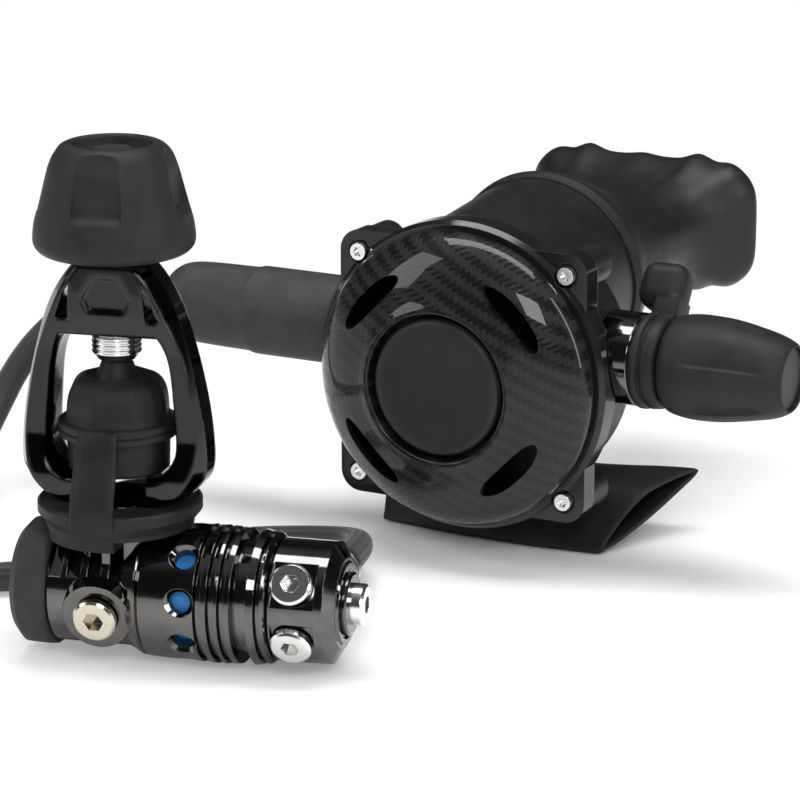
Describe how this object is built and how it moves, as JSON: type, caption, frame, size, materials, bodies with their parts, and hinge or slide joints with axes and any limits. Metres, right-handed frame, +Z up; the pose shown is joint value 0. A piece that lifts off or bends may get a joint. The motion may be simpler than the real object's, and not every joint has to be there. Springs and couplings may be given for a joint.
{
  "type": "scuba regulator set",
  "caption": "Yoke clamp first stage with knob and swivel turret, low pressure hose, and adjustable second stage with purge button and mouthpiece.",
  "frame": {"origin": "middle of the footprint of everything but the hose, on the surface it stands on", "axes": "+Z up, +X along the first stage's body towards its turret, +Y away from the viewer"},
  "size_m": [0.3053, 0.31, 0.1584],
  "materials": {
    "black_chrome": "black chrome, polished",
    "bright_chrome": "polished",
    "nickel": "warm nickel, polished",
    "plated_brass": "plated",
    "steel": "bright",
    "rubber": "matte",
    "silicone": "satin",
    "black_plastic": "satin",
    "carbon_plastic": "clear coated weave",
    "blue_plastic": "matte",
    "hose_braid": "woven cover",
    "seat_plastic": "matte",
    "sintered": "sintered"
  },
  "bodies": {
    "hose_side": {"turret": "black_chrome", "lp_plugs": "bright_chrome", "lp_port_o_rings": "rubber", "hose_fitting": "plated_brass", "hose_ferrule": "plated_brass", "hose_run": "hose_braid", "hose_protector": "rubber", "hose_nut": "plated_brass", "hose_end": "plated_brass"},
    "first_stage": {"end_bumper": "rubber", "pressure_end_plug": "bright_chrome", "piston_seat": "seat_plastic", "main_body": "black_chrome", "thermal_bush": "blue_plastic", "main_spring": "steel", "stem_o_ring": "rubber", "finned_housing": "black_chrome", "swivel_bolt": "black_chrome", "swivel_o_rings": "rubber", "end_port_plug": "bright_chrome", "pressure_port_plugs": "nickel", "pressure_port_o_rings": "rubber", "yoke": "black_chrome", "yoke_retainer": "bright_chrome", "inlet_filter": "sintered", "filter_clip": "steel", "inlet_o_ring": "rubber", "body_collar": "rubber"},
    "piston": {"piston": "plated_brass", "piston_o_ring": "rubber"},
    "thrust_washer": {"thrust_washer": "plated_brass"},
    "yoke_screw": {"yoke_screw": "plated_brass", "knob_core": "black_plastic", "knob_insert": "plated_brass", "knob_grip": "rubber"},
    "dust_cap": {"dust_cap": "rubber", "dust_cap_strap": "rubber"},
    "second_stage": {"case": "black_plastic", "retaining_frame": "black_plastic", "front_cover": "carbon_plastic", "cover_screws": "bright_chrome", "valve_barrel": "plated_brass", "barrel_sleeve": "bright_chrome", "orifice": "plated_brass", "exhaust_tee": "silicone", "mouthpiece": "silicone", "mouthpiece_strap": "black_plastic", "diaphragm_bead": "silicone"},
    "purge_button": {"purge_button": "silicone", "purge_spring": "steel"},
    "diaphragm": {"diaphragm": "silicone", "diaphragm_plate": "black_plastic"},
    "demand_lever": {"demand_lever": "steel"},
    "poppet": {"poppet": "black_plastic", "poppet_spring": "steel"},
    "inhalation_knob": {"inhalation_knob": "black_plastic", "knob_disc": "black_plastic"},
    "adjuster_spindle": {"adjuster_spindle": "plated_brass"},
    "venturi_lever": {"venturi_lever": "black_plastic"},
    "exhaust_valve": {"exhaust_valve": "silicone"}
  },
  "joints": [
    {"name": "turret_swivel", "type": "hinge", "parent": "hose_side", "child": "first_stage", "pos_m": [-0.01948, -0.12685, 0.021], "axis": [1, 0, 0], "range_deg": [-30, 35]},
    {"name": "piston_slide", "type": "slide", "parent": "first_stage", "child": "piston", "axis": [-1, 0, 0], "range_m": [0, 0.0009], "stiffness_N_per_m": 8000, "springref_m": -0.004},
    {"name": "yoke_screw_lift", "type": "slide", "parent": "first_stage", "child": "thrust_washer", "axis": [0, 0, 1], "range_m": [0, 0.008]},
    {"name": "yoke_screw_turn", "type": "hinge", "parent": "thrust_washer", "child": "yoke_screw", "pos_m": [-0.07748, -0.12685, 0.126], "axis": [0, 0, 1], "range_deg": [0, 970]},
    {"name": "dust_cap_lift", "type": "slide", "parent": "first_stage", "child": "dust_cap", "axis": [0, 0, 1], "range_m": [0, 0.008], "deforming": ["dust_cap_strap"]},
    {"name": "second_stage_swivel", "type": "hinge", "parent": "hose_side", "child": "second_stage", "pos_m": [-0.0521, 0.0221, 0.07], "axis": [0.9703, -0.2419, 0], "range_deg": [-30, 30]},
    {"name": "purge_press", "type": "slide", "parent": "second_stage", "child": "purge_button", "axis": [0.2419, 0.9703, 0], "range_m": [0, 0.003], "stiffness_N_per_m": 300, "springref_m": -0.004},
    {"name": "diaphragm_press", "type": "slide", "parent": "second_stage", "child": "diaphragm", "axis": [0.2419, 0.9703, 0], "range_m": [0, 0.003]},
    {"name": "demand_lever_turn", "type": "hinge", "parent": "second_stage", "child": "demand_lever", "pos_m": [0.01849, -0.00065, 0.07], "axis": [0, 0, 1], "range_deg": [-11.6, 0]},
    {"name": "poppet_slide", "type": "slide", "parent": "second_stage", "child": "poppet", "axis": [0.9703, -0.2419, 0], "range_m": [0, 0.0005]},
    {"name": "inhalation_knob_turn", "type": "hinge", "parent": "second_stage", "child": "inhalation_knob", "pos_m": [0.07132, -0.00867, 0.07], "axis": [0.9703, -0.2419, 0], "range_deg": [-450, 450]},
    {"name": "adjuster_slide", "type": "slide", "parent": "second_stage", "child": "adjuster_spindle", "axis": [0.9703, -0.2419, 0], "range_m": [-0.00125, 0.00125]},
    {"name": "venturi_turn", "type": "hinge", "parent": "second_stage", "child": "venturi_lever", "pos_m": [0.07064, -0.0085, 0.07], "axis": [0.9703, -0.2419, 0], "range_deg": [0, 55]},
    {"name": "exhaust_valve_open", "type": "slide", "parent": "second_stage", "child": "exhaust_valve", "axis": [0, 0, -1], "range_m": [0, 0.0015], "stiffness_N_per_m": 50, "springref_m": -0.001}
  ],
  "couplings": [
    {"joint": "yoke_screw_turn", "follows": "yoke_screw_lift", "rad_per_m": 2094.4},
    {"joint": "dust_cap_lift", "follows": "yoke_screw_lift", "ratio": 1},
    {"joint": "diaphragm_press", "follows": "purge_press", "ratio": 1},
    {"joint": "demand_lever_turn", "follows": "purge_press", "rad_per_m": -66.667},
    {"joint": "poppet_slide", "follows": "purge_press", "ratio": 0.16667},
    {"joint": "adjuster_slide", "follows": "inhalation_knob_turn", "m_per_rad": 0.00015915}
  ]
}
